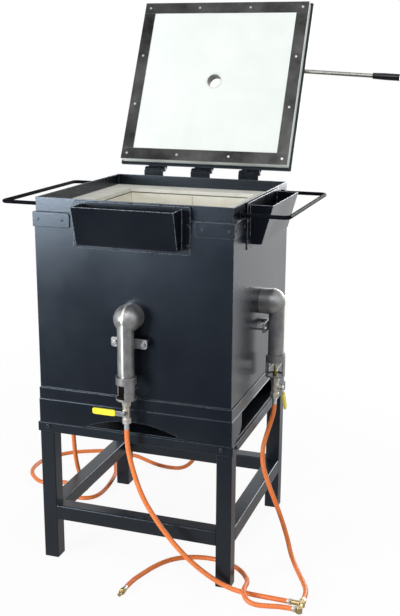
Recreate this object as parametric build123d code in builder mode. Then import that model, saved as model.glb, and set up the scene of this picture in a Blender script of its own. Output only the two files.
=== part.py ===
from build123d import *
from math import cos, pi, radians, sin, tan
import os

os.makedirs("parts", exist_ok=True)

# Gas melting furnace: a square brick-lined chamber with a tilting lid, four gas burners,
# two charging trays and two lifting bails, on a welded tube stand.
# Sizes are in millimetres. Heights are above the floor, and "half" sizes are measured from
# the upright centre line of the furnace. Face 0 is the front, 1 the right, 2 the rear, 3 the left.

# Stand of square tube
stand_half = 325.0
leg_size = 50.0
tube_wall = 3.0
tube_corner = 4.0
leg_height = 476.0
stretcher_bottom = 140.0

# Angle frame on top of the legs
angle_thickness = 4.0
angle_leg = 30.0
frame_bolt_inset = 32.0
frame_bolt_drop = 11.0

# Sheet skirt between the stand and the base tray
skirt_half = 324.5
skirt_height = 80.0
sheet = 3.0
skirt_flange = 28.0
arch_half_width = 170.0
arch_rise = 38.0
side_opening_half = 222.0
side_opening_flare = 98.0
side_opening_spring = 42.0
skirt_bend = 2.5
skirt_fit = 0.3

# Base tray under the casing
tray_half = 323.0
band_height = 37.0
tray_floor = 4.0
rim_half = 316.0
rim_rise = 3.0

# Casing, collar and lining
casing_half = 320.0
casing_height = 565.0
casing_bottom_flange = 15.0
collar_half = 316.0
collar_wall = 4.0
collar_height = 44.0
chamber_half = 228.0
brick_thickness = 64.0
hearth_thickness = 64.0
floor_insulation = 50.0
floor_insulation_half = 304.0
cap_thickness = 12.0
cap_gap = 0.3
lining_top_drop = 5.0
port_radius = 27.0
port_flare = 14.0
port_flare_depth = 24.0

# Corner brackets on the casing
bracket_thickness = 4.0
bracket_length = 124.0
bracket_height = 45.0
bracket_corner = 8.0
bracket_top_drop = 1.0
bracket_screw_insets = (17.0, 98.5)

# Pan head screws
screw_head_radius = 4.5
screw_head_height = 2.0
screw_shank_radius = 2.5
screw_grip = 9.0
screw_clearance = 0.2
pan_taper = 20.0

# Open-topped trays on the front and the right face
trough_half_width = 161.5
trough_top_depth = 74.0
trough_bottom_depth = 40.0
trough_bottom_drop = 88.0
trough_top_drop = 12.0
trough_bend = 6.0
back_half_width = 188.0
back_bottom_drop = 103.0
back_top_drop = 4.0
back_corner = 6.0
tray_screw_along = 180.0
tray_screw_drops = (75.0, 15.0)

# Fixed lifting bails on the left and right
bail_radius = 6.0
bail_reach = 465.0
bail_half_width = 260.0
bail_drop = 29.0
bail_bend = 18.0
bail_boss_radius = 9.0
bail_boss_length = 6.0

# Lid, described as it lies closed and then tilted back about the hinge axis
open_angle = 116.0
hinge_behind = 20.0
hinge_above = 21.0
seal_gap = 0.5
lid_frame_width = 624.0
lid_frame_depth = 614.0
lid_frame_start = 29.0
lid_frame_strip = 42.0
lid_frame_sheet = 2.0
fibre_thickness = 31.0
fibre_inset = 0.5
lid_plate_width = 640.0
lid_plate_lip = 11.0
lid_plate_thickness = 4.0
lid_plate_corner = 5.0
vent_radius = 25.0
lid_strip_gap = 0.4
fibre_groove = 1.2
screws_per_side = 4
lid_screw_head_radius = 4.8
lid_screw_head_height = 2.2
lid_screw_taper = 25.0
lid_screw_radius = 3.0

# Lid handle
rod_radius = 7.25
rod_start = 200.0
rod_tilt = 3.2
rod_reach_at_edge = 396.0
grip_radius = 12.0
grip_length = 94.0
grip_end = 656.0
grip_bore_depth = 78.0
weld_length = 34.0
weld_half_width = 9.0
weld_height = 6.0
weld_places = (230.0, 296.0)
grip_mouth_radius = 10.5
grip_end_bend = 3.0

# Lid hinges
hinge_spacing = 177.0
hinge_width = 72.0
knuckle_radius = 9.0
pin_radius = 4.0
pin_fit = 0.05
knuckle_width = 25.4
knuckle_gap = 0.3
leaf = 3.0
body_leaf_drop = 62.0
body_leaf_height = 60.0
lid_leaf_length = 60.0
lid_leaf_start = 10.0
pin_head_radius = 6.5
pin_head_length = 3.0

# Burners, one on each face
burner_rise = 262.0
ball_radius = 42.5
ball_root_radius = 41.0
ball_reach = 79.0
ball_wall = 5.0
nozzle_radius = 25.4
nozzle_bore = 20.0
nozzle_depth = 62.0
mixer_out = 52.0
mixer_radius = 25.5
mixer_bore = 21.5
mixer_length = 197.0
housing_radius = 32.0
housing_wall = 3.0
housing_drop = 250.0
housing_height = 74.0
housing_fit = 0.1
window_foot = 6.0
window_height = 44.0
window_angle = 116.0
rib_width = 6.0
rib_height = 1.2
window_turns = (-45.0, -85.0, -45.0, -45.0)

# Burner bracket plates
plate_width = 118.0
plate_height = 30.0
plate_thickness = 6.0
plate_corner = 8.0
plate_drop = 94.0
plate_bolt_half = 46.0
bolt_radius = 4.0
bolt_head_radius = 7.0
bolt_head_height = 5.3
bolt_clearance = 0.25
bolt_grip = 12.0
spacer_radius = 7.5

# Gas jet, ball valve and its lever
jet_hex = 8.0
jet_hex_height = 14.0
jet_radius = 5.5
jet_height = 36.0
jet_tip_radius = 2.5
jet_hole = 0.8
valve_drop = 40.0
valve_radius = 12.0
valve_half_height = 20.0
valve_hex = 15.0
valve_hex_height = 17.0
valve_stub_radius = 6.5
valve_boss_radius = 9.0
valve_boss_reach = 18.0
stem_radius = 3.5
stem_fit = 0.05
stem_depth = 9.0
ferrule_radius = 8.0
ferrule_length = 18.0
ferrule_neck = 5.0
ferrule_neck_length = 4.0
lever_gap = 0.3
lever_hub = 6.0
lever_hub_radius = 8.0
lever_thickness = 3.0
lever_width = 16.0
lever_length = 102.0
lever_nut_radius = 6.5
lever_nut_height = 3.5
sleeve_length = 77.0
sleeve_width = 20.0
sleeve_thickness = 7.6
sleeve_bend = 2.5
sleeve_corner = 6.5
lever_angles = (180.0, -60.0, 180.0, 180.0)

# Gas hoses and brass fittings on the floor
hose_radius = 6.65
fitting_height = 11.0
fitting_radius = 8.0
fitting_nut_radius = 10.5
fitting_nut_length = 9.0
fitting_nut_end = 5.0
fitting_arm = 26.0
fitting_hub_radius = 10.0
fitting_hub_height = 18.4
tee_right_place = (562, -350)
tee_to_elbow = 36.0
elbow_arm = 22.0
tee_front_arm = 46.0
tee_left_place = (-470, 190)
connector_length = 34.0
connector_tip_radius = 6.0
connector_tip_length = 14.0

# Sizes that follow from those above
face_names = ("front", "right", "rear", "left")
frame_half = stand_half + angle_thickness
frame_top = leg_height + angle_thickness
skirt_top = frame_top + skirt_height
band_top = skirt_top + band_height
casing_bottom = band_top + rim_rise
casing_top = casing_bottom + casing_height
collar_top = casing_top + collar_height
lining_top = casing_top - lining_top_drop
hearth_bottom = skirt_top + tray_floor + floor_insulation
brick_half = chamber_half + brick_thickness
insulation_half = casing_half - sheet - cap_gap
cap_half = collar_half - collar_wall
trough_bottom = casing_top - trough_bottom_drop
trough_top = collar_top - trough_top_drop
back_bottom = casing_top - back_bottom_drop
back_top = collar_top - back_top_drop
bail_height = collar_top - bail_drop
hinge_y = collar_half + hinge_behind
hinge_z = collar_top + hinge_above
underside = seal_gap - hinge_above
fibre_bottom = underside + lid_frame_sheet
plate_underside = fibre_bottom + fibre_thickness
plate_outside = plate_underside + lid_plate_thickness
lid_plate_depth = lid_frame_depth + 2 * lid_plate_lip
lid_centre = lid_frame_start + lid_frame_depth / 2
burner_height = casing_bottom + burner_rise
mixer_bottom = burner_height - mixer_length
housing_bottom = burner_height - housing_drop
housing_top = housing_bottom + housing_height
window_bottom = housing_bottom + window_foot
plate_bottom = burner_height - plate_drop
valve_height = housing_bottom - valve_drop
plate_out = mixer_out - mixer_radius - plate_thickness
jet_bottom = housing_bottom + housing_wall
valve_top = valve_height + valve_half_height + valve_hex_height
valve_bottom = valve_height - valve_half_height - valve_hex_height
hose_top = valve_bottom - ferrule_neck_length - ferrule_length
lever_out = mixer_out + valve_boss_reach + lever_gap

# The origin is on the floor, at the middle of the whole object with its lid open
left_reach = bail_reach + bail_radius
front_reach = casing_half + mixer_out + housing_radius
lid_lean = radians(open_angle - 90)
lid_far_edge = lid_centre + lid_plate_depth / 2
rear_reach = hinge_y + lid_far_edge * sin(lid_lean) + plate_outside * cos(lid_lean)
furnace_x = (left_reach - grip_end) / 2
furnace_y = (front_reach - rear_reach) / 2


def place(x, y, z):
    """Point given from the furnace's upright centre line."""
    return Vector(furnace_x + x, furnace_y + y, z)


def level(height, x=0.0, y=0.0):
    """Horizontal plane at a height."""
    return Plane(origin=place(x, y, height), x_dir=(1, 0, 0), z_dir=(0, 0, 1))


def directions(number):
    """Outward and sideways directions of one face of the furnace."""
    turn = radians(90 * number - 90)
    outward = Vector(cos(turn), sin(turn), 0)
    sideways = Vector(-sin(turn), cos(turn), 0)
    return outward, sideways


def face_point(number, out, height, along=0.0):
    """Point at a distance out from the casing's face."""
    outward, sideways = directions(number)
    spot = outward * (casing_half + out) + sideways * along
    return place(spot.X, spot.Y, height)


def wall_plane(number, out=0.0, height=0.0, along=0.0):
    """Upright plane looking out from a face, with x to the right and y up."""
    outward, sideways = directions(number)
    return Plane(origin=face_point(number, out, height, along), x_dir=sideways, z_dir=outward)


def side_plane(number, out=0.0, height=0.0, along=0.0):
    """Upright plane square to a face, with x outward and y up."""
    outward, sideways = directions(number)
    return Plane(origin=face_point(number, out, height, along), x_dir=outward, z_dir=sideways * -1)


def bench_plane(number, out, height, along=0.0):
    """Horizontal plane in front of a face, with x to the right and y inward."""
    outward, sideways = directions(number)
    return Plane(origin=face_point(number, out, height, along), x_dir=sideways, z_dir=(0, 0, 1))


def lid_plane(height=0.0, x=0.0, reach=0.0):
    """Plane of the tilted lid: height above and reach from the hinge axis, as when it is closed."""
    turn = radians(open_angle)
    normal = Vector(0, sin(turn), cos(turn))
    back = Vector(0, cos(turn), -sin(turn))
    spot = place(x, hinge_y, hinge_z) + normal * height - back * reach
    return Plane(origin=spot, x_dir=(1, 0, 0), z_dir=normal)


def save(piece, name):
    """Label a finished piece and write it."""
    piece.part.label = name
    export_step(piece.part, f"parts/{name}.step")


def square_ring(half, width, bottom, top):
    """Solid with a square outline and a square hole, all round the furnace."""
    with BuildSketch(level(bottom)) as outline:
        Rectangle(2 * half, 2 * half)
        Rectangle(2 * (half - width), 2 * (half - width), mode=Mode.SUBTRACT)
    extrude(outline.sketch, amount=top - bottom)


# Stand
def make_legs():
    """Four legs with a hole in each outer face for the frame's bolts."""
    middle = stand_half - leg_size / 2
    inside = leg_size - 2 * tube_wall
    corners = {"front_left": (0, 3), "front_right": (1, 0), "rear_right": (2, 1), "rear_left": (3, 2)}
    for name, (starting, ending) in corners.items():
        outward, sideways = directions(starting)
        ending_outward, ending_sideways = directions(ending)
        centre = (outward + ending_outward) * middle
        with BuildPart() as leg:
            with BuildSketch(level(0, centre.X, centre.Y)):
                RectangleRounded(leg_size, leg_size, tube_corner)
                RectangleRounded(inside, inside, tube_corner - tube_wall, mode=Mode.SUBTRACT)
            extrude(amount=leg_height)
            bolt_along = frame_half - frame_bolt_inset - angle_thickness
            for number, side in ((starting, -1), (ending, 1)):
                out = stand_half - casing_half
                height = frame_top - frame_bolt_drop
                with Locations(wall_plane(number, out, height, side * bolt_along)):
                    depth = 2 * tube_wall
                    hole_radius = bolt_radius + bolt_clearance
                    top = (Align.CENTER, Align.CENTER, Align.MAX)
                    Cylinder(hole_radius, depth, align=top, mode=Mode.SUBTRACT)
        save(leg, f"leg_{name}")


def make_stretchers():
    """Four lower stretchers of the same tube between the legs."""
    length = 2 * (stand_half - leg_size)
    out = stand_half - leg_size / 2 - casing_half
    inside = leg_size - 2 * tube_wall
    with BuildPart() as stretchers:
        for number in range(4):
            with BuildSketch(side_plane(number, out, stretcher_bottom + leg_size / 2)) as section:
                RectangleRounded(leg_size, leg_size, tube_corner)
                RectangleRounded(inside, inside, tube_corner - tube_wall, mode=Mode.SUBTRACT)
            extrude(section.sketch, amount=length / 2, both=True)
    save(stretchers, "stretchers")


def frame_bolt_places(out):
    """Planes at the eight bolts that hold the angle frame to the legs."""
    along = frame_half - frame_bolt_inset - angle_thickness
    height = frame_top - frame_bolt_drop
    return [wall_plane(number, out, height, side * along) for number in range(4) for side in (-1, 1)]


def make_top_frame():
    """Welded angle frame that sits over the legs and carries the skirt."""
    out = frame_half - casing_half
    inward = (Align.CENTER, Align.CENTER, Align.MAX)
    with BuildPart() as frame:
        square_ring(frame_half, angle_thickness, frame_top - angle_leg, frame_top)
        square_ring(frame_half, angle_leg, leg_height, frame_top)
        with Locations(*frame_bolt_places(out)):
            hole_radius = bolt_radius + bolt_clearance
            Cylinder(hole_radius, 2 * angle_thickness, align=inward, mode=Mode.SUBTRACT)
    save(frame, "top_frame")


def make_stand_plate():
    """Sheet that closes the top of the stand, inside the skirt."""
    half = skirt_half - sheet - skirt_fit
    with BuildPart() as plate:
        with BuildSketch(level(frame_top)):
            Rectangle(2 * half, 2 * half)
        extrude(amount=sheet)
    save(plate, "stand_plate")


def make_skirt():
    """Folded sheet skirt with a low arch front and rear and a wide opening on each side."""
    cut = 2 * sheet
    with BuildPart() as skirt:
        square_ring(skirt_half, sheet, frame_top, skirt_top)
        square_ring(skirt_half, skirt_flange, skirt_top - sheet, skirt_top)
        for number in (0, 2):
            with BuildSketch(wall_plane(number, skirt_half - casing_half, frame_top)) as arch:
                with BuildLine():
                    start = (-arch_half_width, 0)
                    end = (arch_half_width, 0)
                    ThreePointArc(start, (0, arch_rise), end)
                    Line(end, start)
                make_face()
            extrude(arch.sketch, amount=-cut, mode=Mode.SUBTRACT)
        for number in (1, 3):
            foot = side_opening_half + side_opening_flare
            with BuildSketch(wall_plane(number, skirt_half - casing_half, frame_top)) as opening:
                Rectangle(2 * foot, side_opening_spring, align=(Align.CENTER, Align.MIN))
                with Locations((-foot, side_opening_spring), (foot, side_opening_spring)):
                    Ellipse(side_opening_flare, side_opening_spring, mode=Mode.SUBTRACT)
                Rectangle(2 * side_opening_half, skirt_height - sheet, align=(Align.CENTER, Align.MIN))
            extrude(opening.sketch, amount=-cut, mode=Mode.SUBTRACT)
        rim = skirt.edges().filter_by_position(Axis.Z, skirt_top, skirt_top)
        fillet([edge for edge in rim if edge.length > 2 * skirt_half - sheet], radius=skirt_bend)
    save(skirt, "skirt")


# Chamber
def make_base_tray():
    """Folded tray that holds the floor insulation, with a rim that lifts the casing."""
    with BuildPart() as tray:
        with BuildSketch(level(skirt_top)):
            Rectangle(2 * tray_half, 2 * tray_half)
        extrude(amount=tray_floor)
        square_ring(tray_half, sheet, skirt_top, band_top)
        square_ring(tray_half, tray_half - rim_half + sheet, band_top - sheet, band_top)
        square_ring(rim_half, sheet, band_top - sheet, casing_bottom)
    save(tray, "base_tray")


def nozzle_holes(radius, start, depth, numbers=(0, 1, 2, 3)):
    """Cut the round openings for the burner nozzles inward from a distance out."""
    inward = (Align.CENTER, Align.CENTER, Align.MAX)
    with Locations(*[wall_plane(number, start, burner_height) for number in numbers]):
        Cylinder(radius, depth, align=inward, mode=Mode.SUBTRACT)


def tray_screw_places(number, out):
    """Planes at the screws of the tray on one face."""
    return [
        wall_plane(number, out, casing_top - drop, side * tray_screw_along)
        for side in (-1, 1)
        for drop in tray_screw_drops
    ]


def bracket_screw_places(out):
    """Planes at the screws of the four corner brackets."""
    height = casing_top - bracket_top_drop - bracket_height / 2
    bracket_edge = casing_half + bracket_thickness
    return [
        wall_plane(number, out, height, side * (bracket_edge - inset))
        for number in range(4)
        for side in (-1, 1)
        for inset in bracket_screw_insets
    ]


def plate_bolt_places(number, out):
    """Planes at the two bolts of one burner's bracket plate."""
    height = plate_bottom + plate_height / 2
    return [wall_plane(number, out, height, side * plate_bolt_half) for side in (-1, 1)]


def make_casing():
    """Sheet casing round the lining, drilled for the nozzles, plates, trays and brackets."""
    inward = (Align.CENTER, Align.CENTER, Align.MAX)
    screw_hole = screw_shank_radius + screw_clearance
    with BuildPart() as casing:
        square_ring(casing_half, sheet, casing_bottom, casing_top)
        square_ring(casing_half, casing_bottom_flange, casing_bottom, casing_bottom + sheet)
        square_ring(casing_half, casing_half - cap_half - cap_gap, casing_top - sheet, casing_top)
        nozzle_holes(nozzle_radius + screw_clearance, sheet, 3 * sheet)
        with Locations(*bracket_screw_places(0), *tray_screw_places(0, 0), *tray_screw_places(1, 0)):
            Cylinder(screw_hole, 2 * sheet, align=inward, mode=Mode.SUBTRACT)
        for number in range(4):
            with Locations(*plate_bolt_places(number, 0)):
                hole_radius = bolt_radius + bolt_clearance
                Cylinder(hole_radius, 2 * sheet, align=inward, mode=Mode.SUBTRACT)
    save(casing, "casing")


def make_insulation():
    """Fibre insulation under the hearth and between the bricks and the casing."""
    wall = insulation_half - brick_half
    with BuildPart() as insulation:
        with BuildSketch(level(skirt_top + tray_floor)):
            Rectangle(2 * floor_insulation_half, 2 * floor_insulation_half)
        extrude(amount=floor_insulation)
        square_ring(insulation_half, wall, hearth_bottom, lining_top)
        nozzle_holes(nozzle_radius + screw_clearance, 0, casing_half - brick_half)
        inward = (Align.CENTER, Align.CENTER, Align.MAX)
        for number in range(4):
            with Locations(*plate_bolt_places(number, 0)):
                Cylinder(bolt_radius + bolt_clearance, bolt_grip, align=inward, mode=Mode.SUBTRACT)
        with Locations(*bracket_screw_places(0), *tray_screw_places(0, 0), *tray_screw_places(1, 0)):
            hole_radius = screw_shank_radius + screw_clearance
            Cylinder(hole_radius, screw_grip, align=inward, mode=Mode.SUBTRACT)
    save(insulation, "wall_insulation")


def make_bricks():
    """Hearth slab and four brick walls with a flared port for each nozzle."""
    with BuildPart() as hearth:
        with BuildSketch(level(hearth_bottom)):
            Rectangle(2 * chamber_half, 2 * chamber_half)
        extrude(amount=hearth_thickness)
    save(hearth, "hearth_slab")
    height = lining_top - hearth_bottom
    for number, name in enumerate(face_names):
        half_length = brick_half if number % 2 == 0 else chamber_half
        with BuildPart() as wall:
            with BuildSketch(wall_plane(number, brick_half - casing_half, hearth_bottom)):
                Rectangle(2 * half_length, height, align=(Align.CENTER, Align.MIN))
            extrude(amount=-brick_thickness)
            nozzle_holes(port_radius, 0, casing_half - chamber_half + sheet, (number,))
            mouth = chamber_half - casing_half
            with Locations(wall_plane(number, mouth, burner_height)):
                Cone(
                    port_radius + port_flare,
                    port_radius,
                    port_flare_depth,
                    align=(Align.CENTER, Align.CENTER, Align.MIN),
                    mode=Mode.SUBTRACT,
                )
        save(wall, f"brick_wall_{name}")


def make_lining_cap():
    """Four refractory strips that cap the bricks, butted at the corners."""
    width = cap_half - cap_gap - chamber_half
    with BuildPart() as cap:
        for number in range(4):
            long_strip = number % 2 == 0
            half_length = cap_half - cap_gap if long_strip else chamber_half - cap_gap
            out = cap_half - cap_gap - casing_half
            with BuildSketch(wall_plane(number, out, lining_top)) as strip:
                Rectangle(2 * half_length, cap_thickness, align=(Align.CENTER, Align.MIN))
            extrude(strip.sketch, amount=-width)
    save(cap, "lining_cap")


def make_collar():
    """Steel collar that rims the chamber's mouth."""
    with BuildPart() as collar:
        square_ring(collar_half, collar_wall, casing_top, collar_top)
    save(collar, "collar")


def make_corner_brackets():
    """Four bent plates screwed round the top corners of the casing."""
    bottom = casing_top - bracket_top_drop - bracket_height
    outer = casing_half + bracket_thickness
    screw_hole = screw_shank_radius + screw_clearance
    with BuildPart() as brackets:
        square_ring(outer, bracket_thickness, bottom, bottom + bracket_height)
        gap = 2 * (outer - bracket_length)
        for number in range(4):
            with BuildSketch(wall_plane(number, 2 * bracket_thickness, bottom)) as middle:
                Rectangle(gap, bracket_height, align=(Align.CENTER, Align.MIN))
                corner = bracket_height - bracket_corner
                for side in (-1, 1):
                    edge = side * gap / 2
                    for height, at_bottom in ((0, True), (corner, False)):
                        with Locations((edge + side * bracket_corner / 2, height + bracket_corner / 2)):
                            Rectangle(bracket_corner, bracket_corner)
                        centre_height = bracket_corner if at_bottom else corner
                        with Locations((edge + side * bracket_corner, centre_height)):
                            Circle(bracket_corner, mode=Mode.SUBTRACT)
            extrude(middle.sketch, amount=-3 * bracket_thickness, mode=Mode.SUBTRACT)
        inward = (Align.CENTER, Align.CENTER, Align.MAX)
        with Locations(*bracket_screw_places(bracket_thickness)):
            Cylinder(screw_hole, 2 * bracket_thickness, align=inward, mode=Mode.SUBTRACT)
    save(brackets, "corner_brackets")


def pan_head(spot):
    """One pan head screw whose head sits on a plane."""
    with BuildSketch(spot) as shank:
        Circle(screw_shank_radius)
    extrude(shank.sketch, amount=-screw_grip)
    with BuildSketch(spot) as head:
        Circle(screw_head_radius)
    extrude(head.sketch, amount=screw_head_height, taper=pan_taper)


def hexagon_bolt(spot, reach):
    """One hexagon bolt whose head sits on a plane."""
    with BuildSketch(spot) as shank:
        Circle(bolt_radius)
    extrude(shank.sketch, amount=-reach)
    with BuildSketch(spot) as head:
        RegularPolygon(bolt_head_radius, 6)
    extrude(head.sketch, amount=bolt_head_height)


def make_body_screws():
    """Screws of the corner brackets and the two trays, and the bolts of the stand's frame."""
    with BuildPart() as screws:
        for spot in frame_bolt_places(frame_half - casing_half):
            hexagon_bolt(spot, bolt_grip)
        for spot in bracket_screw_places(bracket_thickness):
            pan_head(spot)
        for number in (0, 1):
            for spot in tray_screw_places(number, sheet):
                pan_head(spot)
    save(screws, "body_screws")


# Trays and bails
def make_tray(number, name):
    """Open-topped folded trough riveted to a back plate on one face."""
    depth = trough_top - trough_bottom
    screw_hole = screw_shank_radius + screw_clearance
    with BuildPart() as tray:
        with BuildSketch(wall_plane(number, 0, (back_bottom + back_top) / 2)):
            RectangleRounded(2 * back_half_width, back_top - back_bottom, back_corner)
        extrude(amount=sheet)
        with BuildSketch(side_plane(number, 0, trough_bottom)) as outline:
            with BuildLine():
                Polyline(
                    (0, 0),
                    (trough_bottom_depth, 0),
                    (trough_top_depth, depth),
                    (0, depth),
                    close=True,
                )
            make_face()
            fillet(outline.vertices().sort_by(Axis.X)[-2:-1], radius=trough_bend)
        extrude(amount=trough_half_width, both=True)
        with BuildSketch(side_plane(number, 0, trough_bottom)) as hollow:
            with BuildLine():
                slope = (trough_top_depth - trough_bottom_depth) / depth
                foot = trough_bottom_depth + sheet * slope - sheet
                Polyline(
                    (sheet, sheet),
                    (foot, sheet),
                    (foot + depth * slope, sheet + depth),
                    (sheet, sheet + depth),
                    close=True,
                )
            make_face()
        extrude(amount=trough_half_width - sheet, both=True, mode=Mode.SUBTRACT)
        with Locations(*tray_screw_places(number, sheet)):
            inward = (Align.CENTER, Align.CENTER, Align.MAX)
            Cylinder(screw_hole, 2 * sheet, align=inward, mode=Mode.SUBTRACT)
    save(tray, name)


def make_bail(side, name):
    """Round bar bent to a loop beside the furnace and welded to the collar."""
    root = side * collar_half
    reach = side * bail_reach
    points = [
        place(root, -bail_half_width, bail_height),
        place(reach, -bail_half_width, bail_height),
        place(reach, bail_half_width, bail_height),
        place(root, bail_half_width, bail_height),
    ]
    start = Plane(origin=points[0], x_dir=(0, 1, 0), z_dir=(side, 0, 0))
    end = Plane(origin=points[-1], x_dir=(0, 1, 0), z_dir=(side, 0, 0))
    with BuildPart() as bail:
        with BuildLine() as route:
            FilletPolyline(*points, radius=bail_bend)
        with BuildSketch(start):
            Circle(bail_radius)
        sweep(path=route.wires()[0])
        with BuildSketch(start, end):
            Circle(bail_boss_radius)
        extrude(amount=bail_boss_length)
    save(bail, name)


# Lid
def make_lid():
    """Outer plate, fibre board, the four strips that hold it and their screws."""
    half_width = lid_frame_width / 2
    half_depth = lid_frame_depth / 2
    middle = lid_frame_strip / 2
    shares = [2 * step / (screws_per_side - 1) - 1 for step in range(screws_per_side)]
    screw_spots = [
        (x * (half_width - middle), y * (half_depth - middle))
        for x in shares
        for y in shares
        if abs(x) == 1 or abs(y) == 1
    ]
    with BuildPart() as plate:
        with BuildSketch(lid_plane(plate_underside, 0, lid_centre)):
            RectangleRounded(lid_plate_width, lid_plate_depth, lid_plate_corner)
            Circle(vent_radius, mode=Mode.SUBTRACT)
        extrude(amount=lid_plate_thickness)
    save(plate, "lid_plate")
    with BuildPart() as strips:
        with BuildSketch(lid_plane(underside, 0, lid_centre)):
            Rectangle(lid_frame_width, lid_frame_depth)
            inner_width = lid_frame_width - 2 * lid_frame_strip
            inner_depth = lid_frame_depth - 2 * lid_frame_strip
            Rectangle(inner_width, inner_depth, mode=Mode.SUBTRACT)
            for side in (-1, 1):
                with Locations((0, side * (half_depth - lid_frame_strip))):
                    Rectangle(lid_frame_width, lid_strip_gap, mode=Mode.SUBTRACT)
            with Locations(*screw_spots):
                Circle(lid_screw_radius + screw_clearance, mode=Mode.SUBTRACT)
        extrude(amount=lid_frame_sheet)
    save(strips, "lid_frame")
    board_width = lid_frame_width - 2 * fibre_inset
    board_depth = lid_frame_depth - 2 * fibre_inset
    with BuildPart() as fibre:
        with BuildSketch(lid_plane(fibre_bottom, 0, lid_centre)) as board:
            Rectangle(board_width, board_depth)
            Circle(vent_radius, mode=Mode.SUBTRACT)
            with Locations(*screw_spots):
                Circle(lid_screw_radius + screw_clearance, mode=Mode.SUBTRACT)
        extrude(amount=fibre_thickness)
        groove_start = fibre_bottom + (fibre_thickness - fibre_groove) / 2
        with BuildSketch(lid_plane(groove_start, 0, lid_centre)) as groove:
            Rectangle(board_width, board_depth)
            Rectangle(
                board_width - 2 * fibre_groove, board_depth - 2 * fibre_groove, mode=Mode.SUBTRACT
            )
        extrude(groove.sketch, amount=fibre_groove, mode=Mode.SUBTRACT)
    save(fibre, "lid_fibre")
    with BuildPart() as screws:
        with BuildSketch(lid_plane(underside, 0, lid_centre)):
            with Locations(*screw_spots):
                Circle(lid_screw_radius)
        extrude(amount=fibre_thickness + lid_frame_sheet)
        with BuildSketch(lid_plane(underside, 0, lid_centre)):
            with Locations(*screw_spots):
                Circle(lid_screw_head_radius)
        extrude(amount=-lid_screw_head_height, taper=lid_screw_taper)
    save(screws, "lid_screws")


def rod_plane(x):
    """Plane square to the lid's handle rod, with y away from the lid plate."""
    flat = lid_plane(plate_outside + rod_radius)
    tilt = radians(rod_tilt)
    edge = lid_plate_width / 2
    reach = rod_reach_at_edge - (x - edge) * tan(tilt)
    along = flat.x_dir * cos(tilt) + flat.y_dir * sin(tilt)
    spot = lid_plane(plate_outside + rod_radius, x, reach).origin
    return Plane(origin=spot, x_dir=flat.z_dir.cross(along), z_dir=along)


def make_lid_handle():
    """Straight round rod welded to the lid plate, with a grip on its free end."""
    slope = cos(radians(rod_tilt))
    rod_length = (grip_end - grip_length + grip_bore_depth - rod_start) / slope
    with BuildPart() as rod:
        with BuildSketch(rod_plane(rod_start)):
            Circle(rod_radius)
        extrude(amount=rod_length)
        for x in weld_places:
            with BuildSketch(rod_plane(x)) as bead:
                with BuildLine():
                    foot = -rod_radius
                    Polyline(
                        (-weld_half_width, foot),
                        (weld_half_width, foot),
                        (rod_radius / 2, foot + weld_height),
                        (-rod_radius / 2, foot + weld_height),
                        close=True,
                    )
                make_face()
            extrude(bead.sketch, amount=weld_length / 2, both=True)
    save(rod, "lid_handle_rod")
    start = rod_plane(grip_end - grip_length)
    along = Plane(origin=start.origin, x_dir=start.z_dir, z_dir=start.x_dir)
    straight = grip_length / slope - grip_end_bend
    bore = grip_bore_depth / slope
    bend = grip_end_bend * cos(pi / 4)
    flat_end = grip_radius - grip_end_bend
    with BuildPart() as grip:
        with BuildSketch(along):
            with BuildLine():
                Polyline(
                    (straight + grip_end_bend, flat_end),
                    (straight + grip_end_bend, 0),
                    (bore, 0),
                    (bore, rod_radius),
                    (0, rod_radius),
                    (0, grip_mouth_radius),
                    (straight / 2, grip_radius),
                    (straight, grip_radius),
                )
                ThreePointArc(
                    (straight, grip_radius),
                    (straight + bend, flat_end + bend),
                    (straight + grip_end_bend, flat_end),
                )
            make_face()
        revolve(axis=Axis(start.origin, start.z_dir))
    save(grip, "lid_grip")


# Hinges
def hinge_section(x, tilt=0.0):
    """Plane square to the hinge axis, with x to the rear and y up before it tilts."""
    turn = radians(tilt)
    back = Vector(0, cos(turn), -sin(turn))
    return Plane(origin=place(x, hinge_y, hinge_z), x_dir=back, z_dir=(1, 0, 0))


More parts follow.
